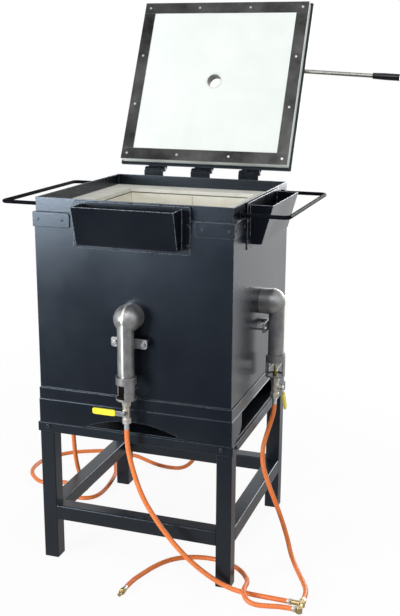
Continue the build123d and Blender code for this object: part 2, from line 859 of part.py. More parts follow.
def make_hinges():
    """Three barrel hinges: body leaves, lid leaves and pins."""
    middles = (-hinge_spacing, 0.0, hinge_spacing)
    bore = pin_radius + pin_fit
    knuckle_start = knuckle_width / 2 + knuckle_gap
    outer_knuckle = hinge_width / 2 - knuckle_start
    leaf_front = -hinge_behind
    strip_top = leaf_front + leaf
    with BuildPart() as body_leaves:
        for x in middles:
            with BuildSketch(hinge_section(x)) as plate:
                with Locations((leaf_front, -body_leaf_drop)):
                    Rectangle(leaf, body_leaf_height, align=(Align.MIN, Align.MIN))
            extrude(plate.sketch, amount=hinge_width / 2, both=True)
            with BuildSketch(hinge_section(x)) as knuckle:
                with BuildLine():
                    top = body_leaf_height - body_leaf_drop
                    Polyline(
                        (leaf_front, top),
                        (leaf_front, top - leaf),
                        (strip_top, top - leaf),
                        (0, -knuckle_radius + leaf / 2),
                        (-knuckle_radius + leaf / 2, 0),
                        close=True,
                    )
                make_face()
                Circle(knuckle_radius)
                Circle(bore, mode=Mode.SUBTRACT)
            extrude(knuckle.sketch, amount=knuckle_width / 2, both=True)
    save(body_leaves, "hinge_body_leaves")
    with BuildPart() as lid_leaves:
        for x in middles:
            with BuildSketch(hinge_section(x, open_angle)) as plate:
                with Locations((-lid_leaf_length, plate_outside)):
                    width = lid_leaf_length - lid_leaf_start
                    Rectangle(width, leaf, align=(Align.MIN, Align.MIN))
            extrude(plate.sketch, amount=hinge_width / 2, both=True)
            for side in (-1, 1):
                start = x + side * (knuckle_start + outer_knuckle / 2)
                with BuildSketch(hinge_section(start, open_angle)) as knuckle:
                    with BuildLine():
                        Polyline(
                            (-lid_leaf_start, plate_outside),
                            (-lid_leaf_start, plate_outside + leaf),
                            (knuckle_radius * cos(pi / 4), knuckle_radius * sin(pi / 4)),
                            (0, knuckle_radius - leaf),
                            close=True,
                        )
                    make_face()
                    Circle(knuckle_radius)
                    Circle(bore, mode=Mode.SUBTRACT)
                extrude(knuckle.sketch, amount=outer_knuckle / 2, both=True)
    save(lid_leaves, "hinge_lid_leaves")
    with BuildPart() as pins:
        for x in middles:
            with BuildSketch(hinge_section(x)) as shank:
                Circle(pin_radius)
            extrude(shank.sketch, amount=hinge_width / 2 + knuckle_gap, both=True)
            for side in (-1, 1):
                with BuildSketch(hinge_section(x + side * (hinge_width / 2 + knuckle_gap))) as head:
                    Circle(pin_head_radius)
                extrude(head.sketch, amount=side * pin_head_length)
    save(pins, "hinge_pins")


# Burners
def make_burner_tube(number, name):
    """Cast elbow: a domed ball on the wall, a nozzle into the bricks and a mixer tube below."""
    plane = side_plane(number, 0, burner_height)
    axis = Axis(plane.origin, plane.x_dir)
    shoulder = ball_reach - ball_radius
    quarter = ball_radius * cos(pi / 4)
    inner = ball_radius - ball_wall
    inner_quarter = inner * cos(pi / 4)
    with BuildPart() as tube:
        with BuildSketch(plane) as outer_profile:
            with BuildLine():
                Polyline(
                    (ball_reach, 0),
                    (-nozzle_depth, 0),
                    (-nozzle_depth, nozzle_radius),
                    (0, nozzle_radius),
                    (0, ball_root_radius),
                    (shoulder, ball_radius),
                )
                ThreePointArc(
                    (shoulder, ball_radius),
                    (shoulder + quarter, quarter),
                    (ball_reach, 0),
                )
            make_face()
        revolve(outer_profile.sketch, axis=axis)
        with BuildSketch(bench_plane(number, mixer_out, mixer_bottom)) as mixer:
            Circle(mixer_radius)
        extrude(mixer.sketch, amount=burner_height - mixer_bottom)
        with BuildSketch(plane) as rib:
            with Locations((shoulder, 0)):
                Circle(ball_radius + rib_height)
            with Locations((shoulder, 0)):
                clear = 2 * ball_radius
                Rectangle(clear, 2 * clear, align=(Align.MAX, Align.CENTER), mode=Mode.SUBTRACT)
            with Locations((mixer_out, 0)):
                reach = mixer_radius + rib_height
                Rectangle(reach, burner_height - housing_top - rib_width, align=(Align.MIN, Align.MAX))
        extrude(rib.sketch, amount=rib_width / 2, both=True)
        with BuildSketch(plane) as inner_profile:
            with BuildLine():
                Polyline(
                    (ball_reach - ball_wall, 0),
                    (-nozzle_depth, 0),
                    (-nozzle_depth, nozzle_bore),
                    (ball_wall, nozzle_bore),
                    (ball_wall, ball_root_radius - ball_wall),
                    (shoulder, inner),
                )
                ThreePointArc(
                    (shoulder, inner),
                    (shoulder + inner_quarter, inner_quarter),
                    (ball_reach - ball_wall, 0),
                )
            make_face()
        revolve(inner_profile.sketch, axis=axis, mode=Mode.SUBTRACT)
        with BuildSketch(bench_plane(number, mixer_out, mixer_bottom)) as bore:
            Circle(mixer_bore)
        extrude(bore.sketch, amount=burner_height - mixer_bottom, mode=Mode.SUBTRACT)
    save(tube, f"burner_tube_{name}")


def make_air_housings():
    """Cups round the mixer tubes, each with two opposite air windows."""
    with BuildPart() as housings:
        for number in range(4):
            height = housing_top - housing_bottom
            with BuildSketch(bench_plane(number, mixer_out, housing_bottom)) as outside:
                Circle(housing_radius)
                Circle(valve_stub_radius + screw_clearance, mode=Mode.SUBTRACT)
            with BuildSketch(bench_plane(number, mixer_out, jet_bottom)) as inside:
                Circle(housing_radius - housing_wall)
            with BuildSketch(bench_plane(number, mixer_out, mixer_bottom)) as band:
                Circle(housing_radius)
                Circle(mixer_radius + housing_fit, mode=Mode.SUBTRACT)
            with BuildSketch(bench_plane(number, mixer_out, window_bottom)) as windows:
                for turn in (window_turns[number], window_turns[number] + 180):
                    reach = 2 * housing_radius
                    with BuildLine():
                        Polyline(
                            (0, 0),
                            *[
                                (
                                    reach * sin(radians(turn + share * window_angle / 2)),
                                    -reach * cos(radians(turn + share * window_angle / 2)),
                                )
                                for share in (-1, 0, 1)
                            ],
                            close=True,
                        )
                    make_face()
            extrude(outside.sketch, amount=height)
            extrude(inside.sketch, amount=housing_top - jet_bottom, mode=Mode.SUBTRACT)
            extrude(band.sketch, amount=housing_top - mixer_bottom)
            extrude(windows.sketch, amount=window_height, mode=Mode.SUBTRACT)
    save(housings, "air_housings")


def make_jets():
    """Brass gas jets that point up into the mixer tubes."""
    with BuildPart() as jets:
        for number in range(4):
            with BuildSketch(bench_plane(number, mixer_out, jet_bottom)) as hexagon:
                RegularPolygon(jet_hex, 6)
            extrude(hexagon.sketch, amount=jet_hex_height)
            with BuildSketch(side_plane(number, mixer_out, jet_bottom)) as profile:
                with BuildLine():
                    Polyline(
                        (jet_hole, jet_hex_height),
                        (jet_radius, jet_hex_height),
                        (jet_radius, (jet_hex_height + jet_height) / 2),
                        (jet_tip_radius, jet_height),
                        (jet_hole, jet_height),
                        close=True,
                    )
                make_face()
            axis = Axis(profile.workplanes[0].origin, (0, 0, 1))
            revolve(profile.sketch, axis=axis)
    save(jets, "gas_jets")


def make_brackets_and_bolts():
    """Plates behind the mixer tubes, and the bolts and spacers that carry them."""
    with BuildPart() as plates:
        for number in range(4):
            with BuildSketch(wall_plane(number, plate_out, plate_bottom + plate_height / 2)) as plate:
                RectangleRounded(plate_width, plate_height, plate_corner)
                with Locations((-plate_bolt_half, 0), (plate_bolt_half, 0)):
                    Circle(bolt_radius + bolt_clearance, mode=Mode.SUBTRACT)
            extrude(plate.sketch, amount=plate_thickness)
    save(plates, "burner_brackets")
    with BuildPart() as bolts:
        for number in range(4):
            for spot in plate_bolt_places(number, plate_out + plate_thickness):
                hexagon_bolt(spot, plate_out + plate_thickness + bolt_grip)
            for spot in plate_bolt_places(number, 0):
                with BuildSketch(spot) as spacer:
                    Circle(spacer_radius)
                    Circle(bolt_radius, mode=Mode.SUBTRACT)
                extrude(spacer.sketch, amount=plate_out)
    save(bolts, "burner_bolts")


def make_valves():
    """Ball valves under the air housings, each with a boss for its stem and a hose ferrule."""
    with BuildPart() as valves:
        for number in range(4):
            plane = side_plane(number, mixer_out, valve_height)
            with BuildSketch(plane) as profile:
                with BuildLine():
                    top = valve_half_height + valve_hex_height
                    neck = -top - ferrule_neck_length
                    end = neck - ferrule_length
                    Polyline(
                        (0, top + jet_bottom - valve_top),
                        (valve_stub_radius, top + jet_bottom - valve_top),
                        (valve_stub_radius, top),
                        (valve_radius, top),
                        (valve_radius, -top),
                        (ferrule_neck, neck),
                        (ferrule_radius, neck),
                        (ferrule_radius, end),
                        (0, end),
                        close=True,
                    )
                make_face()
            revolve(profile.sketch, axis=Axis(plane.origin, (0, 0, 1)))
            for height in (valve_bottom, valve_top - valve_hex_height):
                with BuildSketch(bench_plane(number, mixer_out, height)) as hexagon:
                    RegularPolygon(valve_hex, 6)
                extrude(hexagon.sketch, amount=valve_hex_height)
            with BuildSketch(wall_plane(number, mixer_out, valve_height)) as boss:
                Circle(valve_boss_radius)
            extrude(boss.sketch, amount=valve_boss_reach)
            tip = mixer_out + valve_boss_reach
            with BuildSketch(wall_plane(number, tip, valve_height)) as bore:
                Circle(stem_radius + stem_fit)
            extrude(bore.sketch, amount=-(stem_depth + lever_gap), mode=Mode.SUBTRACT)
    save(valves, "gas_valves")


def lever_plane(number, out):
    """Plane through a valve's stem, with x along its lever and z outward."""
    turn = radians(lever_angles[number])
    upright = wall_plane(number, out, valve_height)
    along = upright.x_dir * cos(turn) + upright.y_dir * sin(turn)
    return Plane(origin=upright.origin, x_dir=along, z_dir=upright.z_dir)


def make_lever(number, name):
    """Quarter turn lever with its stem and nut, and the soft sleeve on its arm."""
    strip_out = lever_out + lever_hub
    with BuildPart() as lever:
        with BuildSketch(lever_plane(number, lever_out - stem_depth)):
            Circle(stem_radius)
        extrude(amount=stem_depth)
        with BuildSketch(lever_plane(number, lever_out)):
            Circle(lever_hub_radius)
        extrude(amount=lever_hub)
        with BuildSketch(lever_plane(number, strip_out)):
            Circle(lever_hub_radius)
            with Locations((0, 0)):
                length = lever_length - sleeve_bend
                Rectangle(length, lever_width, align=(Align.MIN, Align.CENTER))
        extrude(amount=lever_thickness)
        with BuildSketch(lever_plane(number, strip_out + lever_thickness)):
            RegularPolygon(lever_nut_radius, 6)
        extrude(amount=lever_nut_height)
    save(lever, f"lever_{name}")
    middle = strip_out + lever_thickness / 2
    with BuildPart() as sleeve:
        with BuildSketch(lever_plane(number, middle - sleeve_thickness / 2)):
            with Locations((lever_length - sleeve_length / 2, 0)):
                RectangleRounded(sleeve_length, sleeve_width, sleeve_corner)
        extrude(amount=sleeve_thickness)
        rims = sleeve.faces().filter_by(lever_plane(number, middle), tolerance=0.001)
        fillet(rims.edges(), radius=sleeve_bend)
        with BuildSketch(lever_plane(number, strip_out)):
            length = lever_length - sleeve_bend
            Rectangle(length, lever_width, align=(Align.MIN, Align.CENTER))
        extrude(amount=lever_thickness, mode=Mode.SUBTRACT)
    save(sleeve, f"lever_sleeve_{name}")


# Hoses
front_start = casing_half + mixer_out
front_route = [
    (0, -front_start, hose_top),
    (0, -front_start, 478),
    (3, -373, 432),
    (14, -376, 376),
    (38, -377, 303),
    (88, -377, 243),
    (148, -376, 177),
    (207, -373, 109),
    (262, -354, 50),
    (322, -341, 14),
    (375, -344, 8),
    (428, -345, 8),
    (478, -350, fitting_height),
    (516, -350, fitting_height),
]
right_route = [
    (front_start, 0, hose_top),
    (front_start, 0, 489),
    (364, -7, 454),
    (353, -16, 412),
    (342, -26, 362),
    (345, -33, 308),
    (360, -37, 262),
    (380, -40, 214),
    (402, -43, 165),
    (424, -48, 112),
    (444, -58, 62),
    (462, -82, 22),
    (486, -122, 8),
    (513, -176, 8),
    (541, -228, 8),
    (562, -282, fitting_height),
    (562, -324, fitting_height),
]
left_route = [
    (-front_start, 0, hose_top),
    (-front_start, 0, 466),
    (-371, 2, 414),
    (-374, 3, 352),
    (-372, 7, 280),
    (-373, 18, 208),
    (-371, 38, 145),
    (-372, 70, 92),
    (-374, 108, 50),
    (-377, 138, 25),
    (-390, 168, 14),
    (-415, 190, fitting_height),
    (-444, 190, fitting_height),
]
rear_route = [
    (0, front_start, hose_top),
    (0, front_start, 466),
    (-1, 374, 420),
    (-3, 378, 362),
    (-6, 386, 290),
    (-14, 397, 205),
    (-36, 416, 120),
    (-70, 438, 55),
    (-118, 455, 16),
    (-175, 462, 8),
    (-235, 474, 8),
    (-290, 500, 8),
    (-340, 527, 8),
    (-386, 530, 8),
    (-414, 496, 8),
    (-410, 446, 8),
    (-382, 396, 8),
    (-358, 342, 8),
    (-346, 280, 8),
    (-338, 220, 8),
    (-336, 165, 8),
    (-344, 124, 8),
    (-366, 98, 8),
    (-400, 90, 8),
    (-434, 96, 9),
    (-462, 114, 10),
    (-470, 140, fitting_height),
    (-470, 164, fitting_height),
]
right_inlet_route = [
    (540, -386, fitting_height),
    (507, -386, fitting_height),
    (462, -393, 8),
    (424, -400, 9),
    (397, -392, 15),
    (381, -369, 25),
    (377, -336, 26),
    (374, -297, 15),
    (360, -256, 8),
    (328, -216, 8),
    (280, -188, 8),
    (220, -174, 8),
    (150, -186, 8),
    (92, -222, 8),
    (56, -280, 8),
    (34, -345, 8),
    (21, -402, fitting_height),
    (19, -441, fitting_height),
]
left_inlet_route = [
    (-496, 190, fitting_height),
    (-526, 190, fitting_height),
    (-564, 172, 8),
    (-606, 168, 8),
    (-648, 199, 8),
    (-684, 243, 8),
    (-700, 303, 8),
    (-690, 370, 8),
    (-654, 434, 8),
    (-604, 480, 8),
    (-540, 506, fitting_height),
    (-484, 529, fitting_height),
]


def make_hose(name, points):
    """Hose of straight runs joined by arcs as large as the runs allow."""
    spots = [place(*point) for point in points]
    radii = []
    for before, here, after in zip(spots, spots[1:], spots[2:]):
        arriving = here - before
        leaving = after - here
        half_turn = radians(arriving.get_angle(leaving) / 2)
        radii.append(0.45 * min(arriving.length, leaving.length) / tan(half_turn))
    with BuildPart() as hose:
        with BuildLine() as route:
            FilletPolyline(*spots, radius=radii)
        with BuildSketch(Plane(origin=spots[0], z_dir=spots[1] - spots[0])):
            Circle(hose_radius)
        sweep(path=route.wires()[0])
    expected = pi * hose_radius**2 * route.wires()[0].length
    runs = [round((after - before).length) for before, after in zip(spots, spots[1:])]
    print(name, "runs", runs, "radii", [round(radius) for radius in radii])
    print(name, "volume over section times length", round(hose.part.volume / expected, 4))
    save(hose, name)


def fitting_branch(corner, direction, length):
    """Arm of a brass fitting with a hexagon near its end."""
    plane = Plane(origin=corner, z_dir=direction)
    with BuildSketch(plane) as arm:
        Circle(fitting_radius)
    extrude(arm.sketch, amount=length)
    with BuildSketch(plane.offset(length - fitting_nut_end - fitting_nut_length)) as nut:
        RegularPolygon(fitting_nut_radius, 6)
    extrude(nut.sketch, amount=fitting_nut_length)


def make_tees():
    """Brass tees on the floor that join the hoses, the right one with an elbow behind it."""
    right = place(*tee_right_place, fitting_height)
    elbow = place(tee_right_place[0], tee_right_place[1] - tee_to_elbow, fitting_height)
    with BuildPart() as tee:
        with Locations(right, elbow):
            Cylinder(fitting_hub_radius, fitting_hub_height)
        fitting_branch(right, (-1, 0, 0), tee_front_arm)
        fitting_branch(right, (0, 1, 0), fitting_arm)
        with BuildSketch(Plane(origin=right, z_dir=(0, -1, 0))) as neck:
            Circle(fitting_radius)
        extrude(neck.sketch, amount=tee_to_elbow)
        fitting_branch(elbow, (-1, 0, 0), elbow_arm)
    save(tee, "hose_tee_right")
    left = place(*tee_left_place, fitting_height)
    with BuildPart() as tee:
        with Locations(left):
            Cylinder(fitting_hub_radius, fitting_hub_height)
        for direction in ((1, 0, 0), (-1, 0, 0), (0, -1, 0)):
            fitting_branch(left, direction, fitting_arm)
    save(tee, "hose_tee_left")


def make_connector(name, route):
    """Brass connector on the free end of an inlet hose, with a stub for the supply's coupling."""
    last = place(*route[-1])
    before = place(*route[-2])
    heading = Vector(last.X - before.X, last.Y - before.Y, 0).normalized()
    plane = Plane(origin=last, z_dir=heading)
    with BuildPart() as connector:
        with BuildSketch(plane) as body:
            Circle(fitting_radius)
        extrude(body.sketch, amount=connector_length)
        nut_start = connector_length - fitting_nut_end - fitting_nut_length
        with BuildSketch(plane.offset(nut_start)) as nut:
            RegularPolygon(fitting_nut_radius, 6)
        extrude(nut.sketch, amount=fitting_nut_length)
        with BuildSketch(plane.offset(connector_length)) as tip:
            Circle(connector_tip_radius)
        extrude(tip.sketch, amount=connector_tip_length)
    print(name, "tip from", [round(v, 3) for v in (last + heading * connector_length).to_tuple()])
    print(name, "heading", [round(v, 5) for v in heading.to_tuple()])
    save(connector, name)


make_legs()
make_stretchers()
make_top_frame()
make_stand_plate()
make_skirt()
make_base_tray()
make_casing()
make_insulation()
make_bricks()
make_lining_cap()
make_collar()
make_corner_brackets()
make_body_screws()
make_tray(0, "tray_front")
make_tray(1, "tray_right")
make_bail(-1, "bail_left")
make_bail(1, "bail_right")
make_lid()
make_lid_handle()
make_hinges()
for face_number, face_name in enumerate(face_names):
    make_burner_tube(face_number, face_name)
    make_lever(face_number, face_name)
make_air_housings()
make_jets()
make_brackets_and_bolts()
make_valves()
make_hose("hose_front", front_route)
make_hose("hose_right", right_route)
make_hose("hose_rear", rear_route)
make_hose("hose_left", left_route)
make_hose("hose_inlet_right", right_inlet_route)
make_hose("hose_inlet_left", left_inlet_route)
make_tees()
make_connector("hose_connector_right", right_inlet_route)
make_connector("hose_connector_left", left_inlet_route)
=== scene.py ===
from math import cos, radians, sin

import bpy
from mathutils import Matrix, Vector


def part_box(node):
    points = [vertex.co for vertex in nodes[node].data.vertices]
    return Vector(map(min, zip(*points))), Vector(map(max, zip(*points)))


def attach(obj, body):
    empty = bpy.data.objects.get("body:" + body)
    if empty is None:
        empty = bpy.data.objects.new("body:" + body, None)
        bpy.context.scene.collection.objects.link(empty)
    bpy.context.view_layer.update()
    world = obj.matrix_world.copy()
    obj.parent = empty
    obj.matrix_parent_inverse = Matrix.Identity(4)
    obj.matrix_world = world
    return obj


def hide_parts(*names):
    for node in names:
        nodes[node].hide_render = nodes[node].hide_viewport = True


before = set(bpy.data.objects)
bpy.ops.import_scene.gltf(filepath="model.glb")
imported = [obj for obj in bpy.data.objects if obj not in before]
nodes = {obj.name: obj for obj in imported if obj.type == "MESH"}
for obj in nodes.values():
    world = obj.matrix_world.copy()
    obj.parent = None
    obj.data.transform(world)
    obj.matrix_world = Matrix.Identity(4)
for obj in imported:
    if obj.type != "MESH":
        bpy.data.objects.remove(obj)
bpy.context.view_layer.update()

# Studio
# A white painted board on the floor of a white room, lit by four large soft boxes. The
# camera stands a little to the right of the furnace at eye height and looks down on it.
casing_low, casing_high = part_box("casing")
furnace = Vector(((casing_low.x + casing_high.x) / 2, (casing_low.y + casing_high.y) / 2, 0.0))
# Angles are in radians, the camera's frame in mm, its focal length and picture height in pixels.
eye_turn = 0.3273
eye_dip = 0.2566
eye_roll = 0.0056
frame_height = 24.0
focal_pixels = 965.34
photo_pixels = 616


def at(x, y, z):
    """A point in metres, given in millimetres from the furnace's centre line on the floor."""
    return furnace + Vector((x, y, z)) / 1000


def make_camera(eye):
    """Camera at the photograph's place: forward from turn and dip, then rolled about it."""
    forward = Vector((-sin(eye_turn) * cos(eye_dip), cos(eye_turn) * cos(eye_dip), -sin(eye_dip)))
    level_right = Vector((cos(eye_turn), sin(eye_turn), 0))
    level_up = level_right.cross(forward)
    right = level_right * cos(eye_roll) + level_up * sin(eye_roll)
    up = level_up * cos(eye_roll) - level_right * sin(eye_roll)
    data = bpy.data.cameras.new("camera")
    data.sensor_fit = "VERTICAL"
    data.sensor_height = frame_height
    data.lens = focal_pixels / photo_pixels * frame_height
    data.clip_end = 100
    camera = bpy.data.objects.new("camera", data)
    turn = Matrix((right, up, -forward)).transposed().to_4x4()
    camera.matrix_world = Matrix.Translation(eye) @ turn
    bpy.context.scene.collection.objects.link(camera)
    bpy.context.scene.camera = camera


def make_soft_box(name, place, target, width, height, power, colour):
    """Rectangular soft lamp that faces a target."""
    data = bpy.data.lights.new(name, "AREA")
    data.shape = "RECTANGLE"
    data.size = width
    data.size_y = height
    data.energy = power
    data.color = colour
    lamp = bpy.data.objects.new(name, data)
    lamp.location = place
    lamp.rotation_euler = (target - place).to_track_quat("-Z", "Y").to_euler()
    bpy.context.scene.collection.objects.link(lamp)


def calculate(tree, operation, first, second=None):
    """Result of a math node on one or two sockets; a plain number may stand for the second."""
    node = tree.nodes.new("ShaderNodeMath")
    node.operation = operation
    tree.links.new(first, node.inputs[0])
    if isinstance(second, (int, float)):
        node.inputs[1].default_value = second
    elif second is not None:
        tree.links.new(second, node.inputs[1])
    return node.outputs["Value"]


def between(tree, value, low, high, start=0.0, end=1.0):
    """Socket that runs from start to end while another runs from low to high."""
    step = tree.nodes.new("ShaderNodeMapRange")
    step.inputs["From Min"].default_value = low
    step.inputs["From Max"].default_value = high
    step.inputs["To Min"].default_value = start
    step.inputs["To Max"].default_value = end
    tree.links.new(value, step.inputs["Value"])
    return step.outputs["Result"]


def length_of(tree, vector):
    """Length of a vector socket."""
    node = tree.nodes.new("ShaderNodeVectorMath")
    node.operation = "LENGTH"
    tree.links.new(vector, node.inputs[0])
    return node.outputs["Value"]


def mix_colours(tree, share, first, second):
    """Mix of two colours, each a socket or plain numbers, by the share of the second."""
    node = tree.nodes.new("ShaderNodeMix")
    node.data_type = "RGBA"
    tree.links.new(share, node.inputs["Factor"])
    for name, colour in (("A", first), ("B", second)):
        if isinstance(colour, tuple):
            node.inputs[name].default_value = colour
        else:
            tree.links.new(colour, node.inputs[name])
    return node.outputs["Result"]


def mix_shaders(tree, share, first, second):
    """Mix of two shader sockets by the share of the second."""
    node = tree.nodes.new("ShaderNodeMixShader")
    tree.links.new(share, node.inputs["Fac"])
    tree.links.new(first, node.inputs[1])
    tree.links.new(second, node.inputs[2])
    return node.outputs["Shader"]


def mirror_rays(tree):
    """Light path node, and a socket that is 1 on rays that reflect or pass through."""
    rays = tree.nodes.new("ShaderNodeLightPath")
    mirrored = calculate(
        tree, "MAXIMUM", rays.outputs["Is Glossy Ray"], rays.outputs["Is Transmission Ray"]
    )
    return rays, mirrored


def make_room():
    """White where the camera looks; a soft light; reflections run from a dim front to a white rear."""
    world = bpy.data.worlds.new("room")
    bpy.context.scene.world = world
    world.use_nodes = True
    tree = world.node_tree
    tree.nodes.clear()
    place = tree.nodes.new("ShaderNodeTexCoord")
    split = tree.nodes.new("ShaderNodeSeparateXYZ")
    tree.links.new(place.outputs["Generated"], split.inputs["Vector"])
    depth = between(tree, split.outputs["Y"], *room_depth)
    backgrounds = []
    for colour, strength in ((room_colour, room_light), (white, 1.0), (white, 1.0)):
        background = tree.nodes.new("ShaderNodeBackground")
        background.inputs["Color"].default_value = colour
        background.inputs["Strength"].default_value = strength
        backgrounds.append(background)
    ambient, seen, reflected = backgrounds
    tree.links.new(mix_colours(tree, depth, room_front, white), reflected.inputs["Color"])
    rays, mirrored = mirror_rays(tree)
    unseen = mix_shaders(
        tree, mirrored, ambient.outputs["Background"], reflected.outputs["Background"]
    )
    whole = mix_shaders(tree, rays.outputs["Is Camera Ray"], unseen, seen.outputs["Background"])
    output = tree.nodes.new("ShaderNodeOutputWorld")
    tree.links.new(whole, output.inputs["Surface"])


def make_floor():
    """Pale board that reads white, takes the furnace's shadow and reflects dimmer in front."""
    mesh = bpy.data.meshes.new("floor")
    corners = [(x * floor_half, y * floor_half, 0) for x, y in ((-1, -1), (1, -1), (1, 1), (-1, 1))]
    mesh.from_pydata(corners, [], [(0, 1, 2, 3)])
    floor = bpy.data.objects.new("floor", mesh)
    bpy.context.scene.collection.objects.link(floor)
    material = bpy.data.materials.new("floor_board")
    material.use_nodes = True
    tree = material.node_tree
    tree.nodes.clear()
    board = tree.nodes.new("ShaderNodeBsdfDiffuse")
    board.inputs["Color"].default_value = floor_grey
    glare = tree.nodes.new("ShaderNodeEmission")
    glare.inputs["Color"].default_value = white
    mirror = tree.nodes.new("ShaderNodeEmission")
    place = tree.nodes.new("ShaderNodeTexCoord")
    away = length_of(tree, place.outputs["Object"])
    whiteness = between(tree, away, *floor_fade, floor_white, 1.0)
    rays, mirrored = mirror_rays(tree)
    glare_share = calculate(tree, "MULTIPLY", rays.outputs["Is Camera Ray"], whiteness)
    seen = mix_shaders(tree, glare_share, board.outputs["BSDF"], glare.outputs["Emission"])
    split = tree.nodes.new("ShaderNodeSeparateXYZ")
    tree.links.new(place.outputs["Object"], split.inputs["Vector"])
    ramp = tree.nodes.new("ShaderNodeValToRGB")
    depth = between(tree, split.outputs["Y"], -floor_half, floor_half)
    tree.links.new(depth, ramp.inputs["Fac"])
    stops = ramp.color_ramp.elements
    stops.remove(stops[1])
    for number, (distance, colour) in enumerate(floor_reflections):
        share_of_depth = (distance + floor_half) / (2 * floor_half)
        stop = stops[0] if number == 0 else stops.new(share_of_depth)
        stop.position = share_of_depth
        stop.color = (*colour, 1)
    tree.links.new(ramp.outputs["Color"], mirror.inputs["Color"])
    whole = mix_shaders(tree, mirrored, seen, mirror.outputs["Emission"])
    output = tree.nodes.new("ShaderNodeOutputMaterial")
    tree.links.new(whole, output.inputs["Surface"])
    floor.data.materials.append(material)


white = (1, 1, 1, 1)
room_light = 0.36
room_colour = (0.94, 0.97, 1.0, 1)
room_front = (0.18, 0.2, 0.25, 1)
room_depth = (-0.9, 0.25)
floor_half = 7.0
floor_grey = (0.86, 0.86, 0.86, 1)
floor_white = 0.92
floor_fade = (1.0, 2.6)
# What the floor shows in reflections: the distance to the rear in metres, and the colour there.
floor_reflections = (
    (-7.0, (0.12, 0.14, 0.18)),
    (-2.6, (0.13, 0.15, 0.19)),
    (-1.5, (0.15, 0.16, 0.19)),
    (-0.95, (0.5, 0.46, 0.42)),
    (-0.3, (0.56, 0.51, 0.47)),
    (0.6, (0.45, 0.45, 0.46)),
    (1.2, (0.75, 0.75, 0.76)),
    (3.5, (1.0, 1.0, 1.0)),
)
eye_place = (1106.2, -2934.8, 1631.0)
lamp_aim = (0, 0, 850)
# Each lamp's name, place in mm, width and height in metres, power in watts, and colour.
lamps = (
    ("key_left", (-2350, -3800, 1340), (1.6, 1.4), 180, (0.96, 0.98, 1.0)),
    ("fill_right", (3000, -1300, 2300), (1.8, 2.2), 18, (1, 1, 1)),
    ("front_top", (500, -2500, 3400), (2.0, 2.0), 45, (1, 1, 1)),
    ("rear_right", (1350, 3300, 1650), (2.4, 1.7), 85, (1, 1, 1)),
)
make_camera(at(*eye_place))
make_room()
make_floor()
for lamp_name, lamp_place, lamp_size, lamp_power, lamp_colour in lamps:
    make_soft_box(lamp_name, at(*lamp_place), at(*lamp_aim), *lamp_size, lamp_power, lamp_colour)
bpy.context.scene.view_settings.view_transform = "Standard"


# Gas hoses
# Orange rubber hose, 16 mm thick, that hangs from each burner's valve and lies on the floor in
# loose curves. Two tees join the burners' hoses in pairs to an inlet hose each.
hose_diameter = 0.0156
hose_top = 513
fitting_height = 11
burner_reach = 372
# Each hose's control points from start to end, in mm from the furnace's centre line on the floor.
hose_routes = {
    "hose_front": [
        (0, -burner_reach, hose_top), (0, -burner_reach, 478), (6, -373, 432), (22, -376, 376),
        (48, -377, 303), (84, -377, 243), (133, -376, 177), (198, -373, 109), (262, -354, 50),
        (322, -341, 14), (375, -344, 8), (428, -345, 8), (478, -350, fitting_height),
        (516, -350, fitting_height),
    ],
    "hose_right": [
        (burner_reach, 0, hose_top), (burner_reach, 0, 489), (364, -7, 454), (353, -16, 412),
        (342, -26, 362), (345, -33, 308), (360, -37, 262), (380, -40, 214), (402, -43, 165),
        (424, -48, 112), (444, -58, 62), (462, -82, 22), (486, -122, 8), (513, -176, 8),
        (541, -228, 8), (562, -282, fitting_height), (562, -324, fitting_height),
    ],
    "hose_left": [
        (-burner_reach, 0, hose_top), (-burner_reach, 0, 466), (-371, 2, 414), (-374, 3, 352),
        (-372, 7, 280), (-373, 18, 208), (-372, 38, 145), (-375, 69, 92), (-382, 104, 50),
        (-392, 134, 26), (-402, 164, 14), (-420, 187, fitting_height), (-444, 190, fitting_height),
    ],
    "hose_rear": [
        (0, burner_reach, hose_top), (0, burner_reach, 466), (-1, 374, 420), (-3, 378, 362),
        (-6, 386, 290), (-14, 397, 205), (-36, 416, 120), (-70, 438, 55), (-118, 455, 16),
        (-175, 462, 8), (-235, 474, 8), (-290, 500, 8), (-340, 527, 8), (-386, 530, 8),
        (-414, 496, 8), (-410, 446, 8), (-382, 396, 8), (-358, 342, 8), (-346, 280, 8),
        (-338, 220, 8), (-336, 165, 8), (-344, 124, 8), (-366, 98, 8), (-400, 90, 8),
        (-434, 96, 9), (-462, 114, 10), (-470, 140, fitting_height), (-470, 164, fitting_height),
    ],
    "hose_inlet_right": [
        (540, -386, fitting_height), (507, -386, fitting_height), (462, -393, 8), (424, -400, 9),
        (397, -392, 15), (381, -369, 25), (377, -336, 26), (374, -297, 15), (360, -256, 8),
        (328, -216, 8), (280, -188, 8), (220, -174, 8), (150, -186, 8), (92, -222, 8),
        (56, -280, 8), (34, -345, 8), (21, -402, fitting_height), (19, -441, fitting_height),
    ],
    "hose_inlet_left": [
        (-496, 190, fitting_height), (-526, 190, fitting_height), (-564, 172, 8), (-606, 168, 8),
        (-648, 199, 8), (-684, 243, 8), (-698, 303, 8), (-690, 370, 8), (-654, 434, 8),
        (-604, 480, 8), (-540, 506, fitting_height), (-484, 529, fitting_height),
    ],
}

# Worn skin, which every piece has: the detail and roughness of its two noises, and the values
# at which its patches, light edges (wear and a painted highlight) and chips begin and end.
broad_noise = (5, 0.62)
fine_noise = (3, 0.5)
patch_spread = (0.3, 0.7)
edge_likeness = (0.995, 0.8)
chip_spread = (0.36, 0.56)
dent_depth = 0.001


